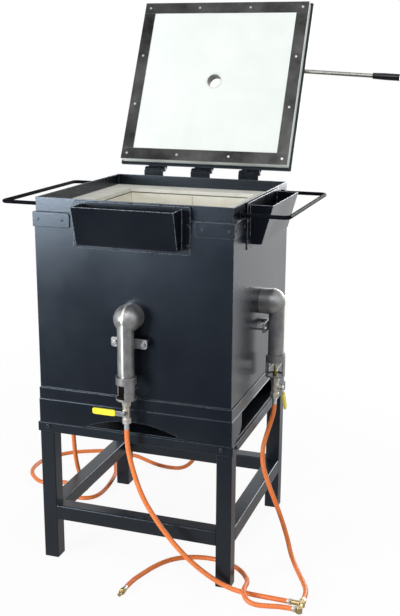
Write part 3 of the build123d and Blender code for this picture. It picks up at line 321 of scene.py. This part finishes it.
def make_skin_group():
    """Worn skin: broad noise mixes two colours and roughnesses, fine noise dents, edges get wear and a
    painted highlight.

    The edge mask is one less the dot product of the rounded and the true normal, stretched.
    """
    group = bpy.data.node_groups.new("worn skin with edge glints", "ShaderNodeTree")
    sockets = (
        ("Vector", "NodeSocketVector", "INPUT"),
        ("Base", "NodeSocketColor", "INPUT"),
        ("Tint", "NodeSocketColor", "INPUT"),
        ("Edge Wear And Glint", "NodeSocketColor", "INPUT"),
        ("Edge Wear And Glint Share", "NodeSocketFloat", "INPUT"),
        ("Broad Scale", "NodeSocketFloat", "INPUT"),
        ("Fine Scale", "NodeSocketFloat", "INPUT"),
        ("Smooth", "NodeSocketFloat", "INPUT"),
        ("Rough", "NodeSocketFloat", "INPUT"),
        ("Dent", "NodeSocketFloat", "INPUT"),
        ("Round", "NodeSocketFloat", "INPUT"),
        ("Colour", "NodeSocketColor", "OUTPUT"),
        ("Roughness", "NodeSocketFloat", "OUTPUT"),
        ("Normal", "NodeSocketVector", "OUTPUT"),
    )
    for name, kind, side in sockets:
        group.interface.new_socket(name, socket_type=kind, in_out=side)
    new = group.nodes.new
    link = group.links.new
    start = new("NodeGroupInput")
    end = new("NodeGroupOutput")
    noises = []
    for scale, (detail, roughness) in (("Broad Scale", broad_noise), ("Fine Scale", fine_noise)):
        noise = new("ShaderNodeTexNoise")
        noise.inputs["Detail"].default_value = detail
        noise.inputs["Roughness"].default_value = roughness
        link(start.outputs["Vector"], noise.inputs["Vector"])
        link(start.outputs[scale], noise.inputs["Scale"])
        noises.append(noise.outputs["Fac"])
    broad, fine = noises
    patches = between(group, broad, *patch_spread)
    paint = mix_colours(group, patches, start.outputs["Base"], start.outputs["Tint"])
    rough = new("ShaderNodeMapRange")
    link(patches, rough.inputs["Value"])
    link(start.outputs["Smooth"], rough.inputs["To Min"])
    link(start.outputs["Rough"], rough.inputs["To Max"])
    rounded = new("ShaderNodeBevel")
    rounded.samples = 6
    link(start.outputs["Round"], rounded.inputs["Radius"])
    surface = new("ShaderNodeNewGeometry")
    likeness = new("ShaderNodeVectorMath")
    likeness.operation = "DOT_PRODUCT"
    link(rounded.outputs["Normal"], likeness.inputs[0])
    link(surface.outputs["Normal"], likeness.inputs[1])
    # Edges take the pale edge colour: partly worn paint or metal, partly a painted highlight where a
    # rounded edge would catch the light.
    edge = between(group, likeness.outputs["Value"], *edge_likeness)
    chips = between(group, fine, *chip_spread)
    chipped = calculate(group, "MULTIPLY", edge, chips)
    edge_wear_and_glint_share = calculate(group, "MULTIPLY", chipped, start.outputs["Edge Wear And Glint Share"])
    worn = mix_colours(group, edge_wear_and_glint_share, paint, start.outputs["Edge Wear And Glint"])
    bump = new("ShaderNodeBump")
    bump.inputs["Distance"].default_value = dent_depth
    link(fine, bump.inputs["Height"])
    link(start.outputs["Dent"], bump.inputs["Strength"])
    link(rounded.outputs["Normal"], bump.inputs["Normal"])
    link(worn, end.inputs["Colour"])
    link(rough.outputs["Result"], end.inputs["Roughness"])
    link(bump.outputs["Normal"], end.inputs["Normal"])
    return group


worn_glinting_skin = make_skin_group()


def skin(
    name, base, tint, smooth, rough, broad=6.0, fine=300.0, dent=0.15, metallic=0.0, edge_wear_and_glint_share=0.0,
    edge_wear_and_glint=(0.3, 0.3, 0.3), bend=0.0012, stretch=(1, 1, 1),
):
    """Material whose skin is worn, with edges lightened by wear and a painted highlight; stretch draws
    the noise out along a brushed direction.
    """
    material = bpy.data.materials.new(name)
    material.use_nodes = True
    tree = material.node_tree
    shader = tree.nodes["Principled BSDF"]
    shader.inputs["Metallic"].default_value = metallic
    place = tree.nodes.new("ShaderNodeTexCoord")
    lay = tree.nodes.new("ShaderNodeMapping")
    lay.inputs["Scale"].default_value = stretch
    group = tree.nodes.new("ShaderNodeGroup")
    group.name = "skin"
    group.node_tree = worn_glinting_skin
    group.inputs["Base"].default_value = (*base, 1)
    group.inputs["Tint"].default_value = (*tint, 1)
    group.inputs["Edge Wear And Glint"].default_value = (*edge_wear_and_glint, 1)
    group.inputs["Edge Wear And Glint Share"].default_value = edge_wear_and_glint_share
    group.inputs["Broad Scale"].default_value = broad
    group.inputs["Fine Scale"].default_value = fine
    group.inputs["Smooth"].default_value = smooth
    group.inputs["Rough"].default_value = rough
    group.inputs["Dent"].default_value = dent
    group.inputs["Round"].default_value = bend
    tree.links.new(place.outputs["Object"], lay.inputs["Vector"])
    tree.links.new(lay.outputs["Vector"], group.inputs["Vector"])
    tree.links.new(group.outputs["Colour"], shader.inputs["Base Color"])
    tree.links.new(group.outputs["Roughness"], shader.inputs["Roughness"])
    tree.links.new(group.outputs["Normal"], shader.inputs["Normal"])
    return material


def recolour(material, mask, colour, amount):
    """Mix another colour over a material's base colour where a mask is 1."""
    tree = material.node_tree
    shader = tree.nodes["Principled BSDF"]
    before = shader.inputs["Base Color"].links[0].from_socket
    share = calculate(tree, "MULTIPLY", mask, amount)
    tree.links.new(mix_colours(tree, share, before, (*colour, 1)), shader.inputs["Base Color"])


def distances(material, centre):
    """Separate x, y and z of a point from a centre, in metres."""
    tree = material.node_tree
    place = tree.nodes.new("ShaderNodeTexCoord")
    shift = tree.nodes.new("ShaderNodeVectorMath")
    shift.operation = "SUBTRACT"
    shift.inputs[1].default_value = centre
    split = tree.nodes.new("ShaderNodeSeparateXYZ")
    tree.links.new(place.outputs["Object"], shift.inputs[0])
    tree.links.new(shift.outputs["Vector"], split.inputs["Vector"])
    return split.outputs, shift.outputs["Vector"]


def dress(material, *names):
    """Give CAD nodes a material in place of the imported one."""
    for name in names:
        mesh = nodes[name].data
        mesh.materials.clear()
        mesh.materials.append(material)


orange_rubber = skin(
    "orange_rubber", (0.7, 0.165, 0.034), (0.78, 0.21, 0.048), 0.34, 0.48, broad=14, fine=420, dent=0.1
)


def lay_hose(name, points):
    """Round hose along a smooth line whose control points are the route's points."""
    curve = bpy.data.curves.new(name, "CURVE")
    curve.dimensions = "3D"
    curve.bevel_depth = hose_diameter / 2
    curve.bevel_resolution = 6
    curve.resolution_u = 10
    curve.use_fill_caps = True
    spline = curve.splines.new("NURBS")
    spline.points.add(len(points) - 1)
    for control, point in zip(spline.points, points):
        control.co = (*at(*point), 1)
    spline.order_u = 3
    spline.use_endpoint_u = True
    curve.materials.append(orange_rubber)
    hose = bpy.data.objects.new(name.replace("hose_", "rubber_hose_"), curve)
    bpy.context.scene.collection.objects.link(hose)
    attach(hose, "furnace_body")
    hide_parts(name)


for hose_name, hose_points in hose_routes.items():
    lay_hose(hose_name, hose_points)


# Tees and connectors
# Turned brass tees, one with an elbow behind it, and connectors with a stub for the gas
# supply's coupling, dulled by handling. A chromed ferrule is crimped on each hose's end.
ferrule_reach = 0.0135
edge_blend = 0.0006
chrome = (0.86, 0.87, 0.9)


def chrome_ends(material):
    """Chromed ferrules on the brass, as far as their reach from each hose's end on the floor."""
    tree = material.node_tree
    for name, points in hose_routes.items():
        ends = [points[-1]]
        if "inlet" in name:
            ends.append(points[0])
        for end in ends:
            _, offset = distances(material, at(*end))
            away = length_of(tree, offset)
            near = between(tree, away, ferrule_reach + edge_blend, ferrule_reach)
            recolour(material, near, chrome, amount=0.9)


dull_brass = skin(
    "dull_brass", (0.42, 0.33, 0.15), (0.6, 0.5, 0.27), 0.24, 0.42,
    broad=45, fine=600, dent=0.2, metallic=1, edge_wear_and_glint_share=0.6, edge_wear_and_glint=(0.85, 0.76, 0.5), bend=0.0008,
)
chrome_ends(dull_brass)
dress(dull_brass, "hose_tee_right", "hose_tee_left", "hose_connector_right", "hose_connector_left")


# Stand
# Four legs of square steel tube with stretchers welded between them low down, a welded frame
# of angle bolted over their tops, and a sheet that closes the top, all painted satin black.
def coat(material, level=0.62, tint=(0.7, 0.84, 1.0), refraction=1.5):
    """Give a paint its strength and colour of gloss where it is seen straight on."""
    shader = material.node_tree.nodes["Principled BSDF"]
    shader.inputs["Specular IOR Level"].default_value = level
    shader.inputs["Specular Tint"].default_value = (*tint, 1)
    shader.inputs["IOR"].default_value = refraction


black_paint = skin(
    "black_paint", (0.0035, 0.0045, 0.007), (0.006, 0.0075, 0.0105), 0.27, 0.35,
    broad=3.5, fine=240, dent=0.12, edge_wear_and_glint_share=0.7, edge_wear_and_glint=(0.13, 0.14, 0.155), bend=0.0022,
)
coat(black_paint)
leg_nodes = [name for name in nodes if name.startswith("leg_")]
dress(black_paint, "top_frame", "stretchers", "stand_plate", *leg_nodes)


# Skirt and base tray
# Folded sheet skirt that stands on the frame, with an arch cut in its front and rear and a
# wide opening in each side, and the folded tray that carries the hearth. Both are painted
# with the casing.
# Its pale edges are worn paint and a painted highlight along the sheet edges.
casing_paint = skin(
    "casing_paint", (0.0035, 0.0045, 0.007), (0.006, 0.0075, 0.0105), 0.21, 0.29,
    broad=3.5, fine=200, dent=0.12, edge_wear_and_glint_share=0.85, edge_wear_and_glint=(0.22, 0.24, 0.27), bend=0.0028,
)
coat(casing_paint)
dress(casing_paint, "skirt", "base_tray")


# Casing and collar
# Sheet steel box with a heavier collar round its mouth and a bent plate round each of its top
# corners, held by pan-headed screws. It is painted black after assembly.
# Its pale edges are worn paint and a painted highlight.
rubbed_glinting_paint = skin(
    "rubbed_glinting_paint", (0.006, 0.0065, 0.009), (0.011, 0.012, 0.015), 0.3, 0.42,
    broad=30, fine=500, dent=0.2, edge_wear_and_glint_share=0.9, edge_wear_and_glint=(0.4, 0.4, 0.41), bend=0.0014,
)
coat(rubbed_glinting_paint)
dress(casing_paint, "casing", "collar", "corner_brackets")
dress(rubbed_glinting_paint, "body_screws")


# Lining
# Cream refractory bricks laid in courses round the chamber on a hearth slab, strips of the
# same stuff that cap them, and white ceramic fibre packed behind.
course_height = 0.114
brick_length = 0.23
brick_joint = 0.0014
joint_depth = 0.001
hearth_shift = 0.5
top_joint = 0.0032
darkening_heights = (-0.08, -0.5)
joint_shade = (0.16, 0.14, 0.1)
cap_joint_shadow = (0.05, 0.045, 0.035)
lower_wall_darkening = (0.34, 0.3, 0.23)
cap_low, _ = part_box("lining_cap")


def make_brick(name, flat):
    """Cream brick in courses, upright in a wall or flat in a floor.

    A joint lies where the height and the run along the wall are whole bricks; the run is x + y
    in a wall. A floor has y for its height and x plus the hearth's shift for its run.
    """
    material = skin(
        name, (0.84, 0.8, 0.67), (0.94, 0.92, 0.82), 0.82, 0.95,
        broad=16, fine=520, dent=0.5, bend=0.0015, edge_wear_and_glint_share=0.5, edge_wear_and_glint=(0.8, 0.78, 0.68),
    )
    tree = material.node_tree
    shader = tree.nodes["Principled BSDF"]
    sides, _ = distances(material, (furnace.x, furnace.y, cap_low.z))
    run = calculate(tree, "ADD", sides["X"], hearth_shift if flat else sides["Y"])
    wall = tree.nodes.new("ShaderNodeCombineXYZ")
    tree.links.new(run, wall.inputs["X"])
    tree.links.new(sides["Y" if flat else "Z"], wall.inputs["Y"])
    courses = tree.nodes.new("ShaderNodeTexBrick")
    courses.inputs["Scale"].default_value = 1.0
    courses.inputs["Brick Width"].default_value = brick_length
    courses.inputs["Row Height"].default_value = course_height
    courses.inputs["Mortar Size"].default_value = brick_joint
    courses.inputs["Mortar Smooth"].default_value = 0.1
    tree.links.new(wall.outputs["Vector"], courses.inputs["Vector"])
    recolour(material, courses.outputs["Fac"], joint_shade, amount=0.4)
    # A dark band just under the cap: the joint there, and a painted shadow of the cap's edge.
    under_cap_shadow_band = between(tree, sides["Z"], -top_joint - edge_blend, -top_joint)
    recolour(material, under_cap_shadow_band, cap_joint_shadow, amount=0.9)
    # The bricks grow darker downwards, from just under the cap towards the hearth.
    darker_downwards = between(tree, sides["Z"], *darkening_heights)
    recolour(material, darker_downwards, lower_wall_darkening, amount=0.3)
    groove = tree.nodes.new("ShaderNodeBump")
    groove.invert = True
    groove.inputs["Distance"].default_value = joint_depth
    groove.inputs["Strength"].default_value = 0.8
    tree.links.new(courses.outputs["Fac"], groove.inputs["Height"])
    tree.links.new(tree.nodes["skin"].outputs["Normal"], groove.inputs["Normal"])
    tree.links.new(groove.outputs["Normal"], shader.inputs["Normal"])
    return material


cap_brick = skin(
    "cap_brick", (0.76, 0.74, 0.65), (0.9, 0.89, 0.81), 0.85, 0.95,
    broad=20, fine=520, dent=0.5, bend=0.0015, edge_wear_and_glint_share=0.5, edge_wear_and_glint=(0.75, 0.74, 0.68),
)
white_fibre = skin(
    "white_fibre", (0.8, 0.83, 0.81), (0.87, 0.9, 0.88), 0.88, 0.97, broad=9, fine=700, dent=0.45
)
brick_nodes = [name for name in nodes if name.startswith("brick_wall_")]
dress(make_brick("wall_brick", flat=False), *brick_nodes)
dress(make_brick("hearth_brick", flat=True), "hearth_slab")
dress(cap_brick, "lining_cap")
dress(white_fibre, "wall_insulation")


# Trays and bails
# Two folded sheet troughs on back plates that are screwed to the front and the right of the
# casing, and a bent round bar welded to the collar on either side to lift by. All are
# painted black.
# Its bright edges are paint worn to bare steel and a painted highlight along them.
tray_paint = skin(
    "tray_paint", (0.003, 0.0035, 0.006), (0.005, 0.006, 0.009), 0.24, 0.34,
    broad=6, fine=170, dent=0.14, edge_wear_and_glint_share=0.95, edge_wear_and_glint=(0.46, 0.48, 0.52), bend=0.003,
)
coat(tray_paint, 0.5)
dress(tray_paint, "tray_front", "tray_right")
bail_paint = skin(
    "bail_paint", (0.003, 0.0035, 0.005), (0.005, 0.006, 0.008), 0.42, 0.55,
    broad=20, fine=240, dent=0.12, edge_wear_and_glint_share=0.4, edge_wear_and_glint=(0.1, 0.105, 0.115), bend=0.0015,
)
coat(bail_paint, 0.25, refraction=1.12)
dress(bail_paint, "bail_left", "bail_right")


# Lid
# Black outer plate, a white fibre board behind a frame of dark brushed steel strips, and
# bright countersunk screws. A round vent goes through plate and board.
lid_turn = radians(116)
vent_wall = 0.0252
vent_scorch = 0.036
vent_wall_painted_shade = (0.22, 0.224, 0.22)
rim_scorch_shade = (0.3, 0.29, 0.26)
board_low, board_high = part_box("lid_fibre")


def make_lid_board():
    """White fibre with painted grey shade on the vent's wall, by distance from the vent's axis."""
    material = skin(
        "lid_board", (0.695, 0.729, 0.69), (0.747, 0.78, 0.737), 0.88, 0.97, broad=7, fine=700, dent=0.45
    )
    tree = material.node_tree
    _, offset = distances(material, (board_low + board_high) / 2)
    normal = (0, sin(lid_turn), cos(lid_turn))
    height = tree.nodes.new("ShaderNodeVectorMath")
    height.operation = "DOT_PRODUCT"
    height.inputs[1].default_value = normal
    tree.links.new(offset, height.inputs[0])
    along = tree.nodes.new("ShaderNodeVectorMath")
    along.operation = "SCALE"
    along.inputs[0].default_value = normal
    tree.links.new(height.outputs["Value"], along.inputs["Scale"])
    across = tree.nodes.new("ShaderNodeVectorMath")
    across.operation = "SUBTRACT"
    tree.links.new(offset, across.inputs[0])
    tree.links.new(along.outputs["Vector"], across.inputs[1])
    radius = length_of(tree, across.outputs["Vector"])
    rim = between(tree, radius, vent_scorch, vent_wall)
    wall = between(tree, radius, vent_wall + edge_blend, vent_wall)
    recolour(material, rim, rim_scorch_shade, amount=0.25)
    # The vent's wall is painted grey as shade inside the hole.
    recolour(material, wall, vent_wall_painted_shade, amount=0.95)
    return material


strip_steel = skin(
    "strip_steel", (0.02, 0.0195, 0.019), (0.125, 0.122, 0.118), 0.26, 0.46,
    broad=8, fine=420, dent=0.12, metallic=0.75, edge_wear_and_glint_share=0.7, edge_wear_and_glint=(0.35, 0.35, 0.35), bend=0.001,
)
bright_screw = skin(
    "bright_screw", (0.78, 0.78, 0.79), (0.92, 0.92, 0.93), 0.28, 0.42,
    broad=60, fine=600, dent=0.12, metallic=1, edge_wear_and_glint_share=0.3, edge_wear_and_glint=(0.9, 0.9, 0.9), bend=0.0006,
)
dress(black_paint, "lid_plate")
dress(make_lid_board(), "lid_fibre")
dress(strip_steel, "lid_frame")
dress(bright_screw, "lid_screws")


# Lid handle
# Plain round steel bar welded to the lid's outer plate, left as drawn, with a glossy black
# moulded grip pushed on its free end.
drawn_steel = skin(
    "drawn_steel", (0.28, 0.27, 0.245), (0.4, 0.39, 0.36), 0.2, 0.3,
    broad=40, fine=260, dent=0.04, metallic=1, bend=0.0008, stretch=(0.1, 1, 1),
)
black_grip = skin(
    "black_grip", (0.003, 0.003, 0.004), (0.006, 0.006, 0.007), 0.16, 0.24, broad=30, fine=500, dent=0.05
)
coat(black_grip, 0.4, (1, 1, 1))
dress(drawn_steel, "lid_handle_rod")
dress(black_grip, "lid_grip")


# Hinges
# Three barrel hinges whose leaves are welded to the collar's rear and to the lid plate.
# They are painted black, and their plain pins turn in the barrels.
hinge_paint = skin(
    "hinge_paint", (0.003, 0.0032, 0.0045), (0.006, 0.0065, 0.008), 0.24, 0.36,
    broad=30, fine=260, dent=0.2, edge_wear_and_glint_share=0.6, edge_wear_and_glint=(0.2, 0.21, 0.225), bend=0.002,
)
coat(hinge_paint, 0.25, refraction=1.35)
dress(hinge_paint, "hinge_lid_leaves", "hinge_body_leaves")
dress(rubbed_glinting_paint, "hinge_pins")


# Burner castings
# Cast elbows with a domed ball on the wall, ground along the parting rib, over cups with
# two air windows. Bracket plates of the same metal are bolted to the casing.
cast_metal = skin(
    "cast_metal", (0.22, 0.222, 0.226), (0.4, 0.4, 0.396), 0.34, 0.5,
    broad=28, fine=520, dent=0.3, metallic=0.75, edge_wear_and_glint_share=0.5, edge_wear_and_glint=(0.7, 0.7, 0.68), bend=0.0015,
)
seam_half = 0.0034
ground_seam_glint = (0.9, 0.88, 0.82)
cup_place = burner_reach / 1000
cup_inside = 0.0298
cup_inside_painted_shade = (0.03, 0.028, 0.025)


def upright_distances(material):
    """Distances of a point from the furnace's two upright middle planes."""
    sides, _ = distances(material, (furnace.x, furnace.y, 0))
    return [calculate(material.node_tree, "ABSOLUTE", sides[name]) for name in ("X", "Y")]


def make_seamed_casting():
    """Cast metal that is ground bright along the rib, with a painted highlight over it, where the
    smaller of |x| and |y| is near nought.
    """
    material = cast_metal.copy()
    material.name = "seamed_casting"
    tree = material.node_tree
    nearest = calculate(tree, "MINIMUM", *upright_distances(material))
    seam = between(tree, nearest, seam_half + edge_blend, seam_half)
    # The rib is lightened: ground metal, and a painted highlight along it.
    recolour(material, seam, ground_seam_glint, amount=0.95)
    return material


def make_cup_casting():
    """Cast metal with painted shade inside the cups, by distance from each cup's upright axis.

    The distance is the root of (larger of |x| and |y| less the cups' place) squared plus the
    smaller squared.
    """
    material = cast_metal.copy()
    material.name = "cup_casting"
    tree = material.node_tree
    planes = upright_distances(material)
    beyond = calculate(tree, "SUBTRACT", calculate(tree, "MAXIMUM", *planes), cup_place)
    spot = tree.nodes.new("ShaderNodeCombineXYZ")
    tree.links.new(beyond, spot.inputs["X"])
    tree.links.new(calculate(tree, "MINIMUM", *planes), spot.inputs["Y"])
    radius = length_of(tree, spot.outputs["Vector"])
    inside = between(tree, radius, cup_inside + edge_blend, cup_inside)
    # Painted shade darkens the insides of the cups.
    recolour(material, inside, cup_inside_painted_shade, amount=0.92)
    return material


bolt_zinc = skin(
    "bolt_zinc", (0.4, 0.4, 0.41), (0.62, 0.62, 0.63), 0.24, 0.4,
    broad=60, fine=600, dent=0.15, metallic=1, edge_wear_and_glint_share=0.3, edge_wear_and_glint=(0.85, 0.85, 0.85), bend=0.0008,
)
tube_nodes = [name for name in nodes if name.startswith("burner_tube_")]
dress(make_seamed_casting(), *tube_nodes)
dress(make_cup_casting(), "air_housings")
dress(cast_metal, "burner_brackets")
dress(bolt_zinc, "burner_bolts")


# Jets and valves
# Brass jets screwed into the cups, and nickel-plated brass ball valves under them. Each
# valve ends in a chromed ferrule that is crimped on its hose.
jet_brass = skin(
    "jet_brass", (0.68, 0.52, 0.17), (0.85, 0.7, 0.32), 0.24, 0.38,
    broad=50, fine=600, dent=0.12, metallic=1, bend=0.0006,
)
nickel = skin(
    "nickel", (0.58, 0.55, 0.45), (0.82, 0.79, 0.7), 0.26, 0.42,
    broad=55, fine=520, dent=0.15, metallic=0.85, edge_wear_and_glint_share=0.4, edge_wear_and_glint=(0.9, 0.88, 0.8), bend=0.0008,
)
valve_low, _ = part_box("gas_valves")
ferrule_height = 0.026
ferrule_blend = 0.001
heights, _ = distances(nickel, (0, 0, valve_low.z + ferrule_height))
ferrules = between(nickel.node_tree, heights["Z"], ferrule_blend, -ferrule_blend)
recolour(nickel, ferrules, chrome, amount=0.8)
dress(jet_brass, "gas_jets")
dress(nickel, "gas_valves")


# Levers
# Pressed bright steel levers on the valves' stems, each with a yellow vinyl sleeve dipped
# or pushed on its free end.
lever_steel = skin(
    "lever_steel", (0.45, 0.45, 0.45), (0.65, 0.65, 0.65), 0.26, 0.4,
    broad=60, fine=600, dent=0.12, metallic=1, edge_wear_and_glint_share=0.3, edge_wear_and_glint=(0.9, 0.9, 0.9), bend=0.0008,
)
yellow_vinyl = skin(
    "yellow_vinyl", (0.72, 0.6, 0.012), (0.82, 0.7, 0.03), 0.28, 0.42, broad=30, fine=400, dent=0.08
)
lever_nodes = [name for name in nodes if name.startswith("lever_") and "sleeve" not in name]
sleeve_nodes = [name for name in nodes if name.startswith("lever_sleeve_")]
dress(lever_steel, *lever_nodes)
dress(yellow_vinyl, *sleeve_nodes)
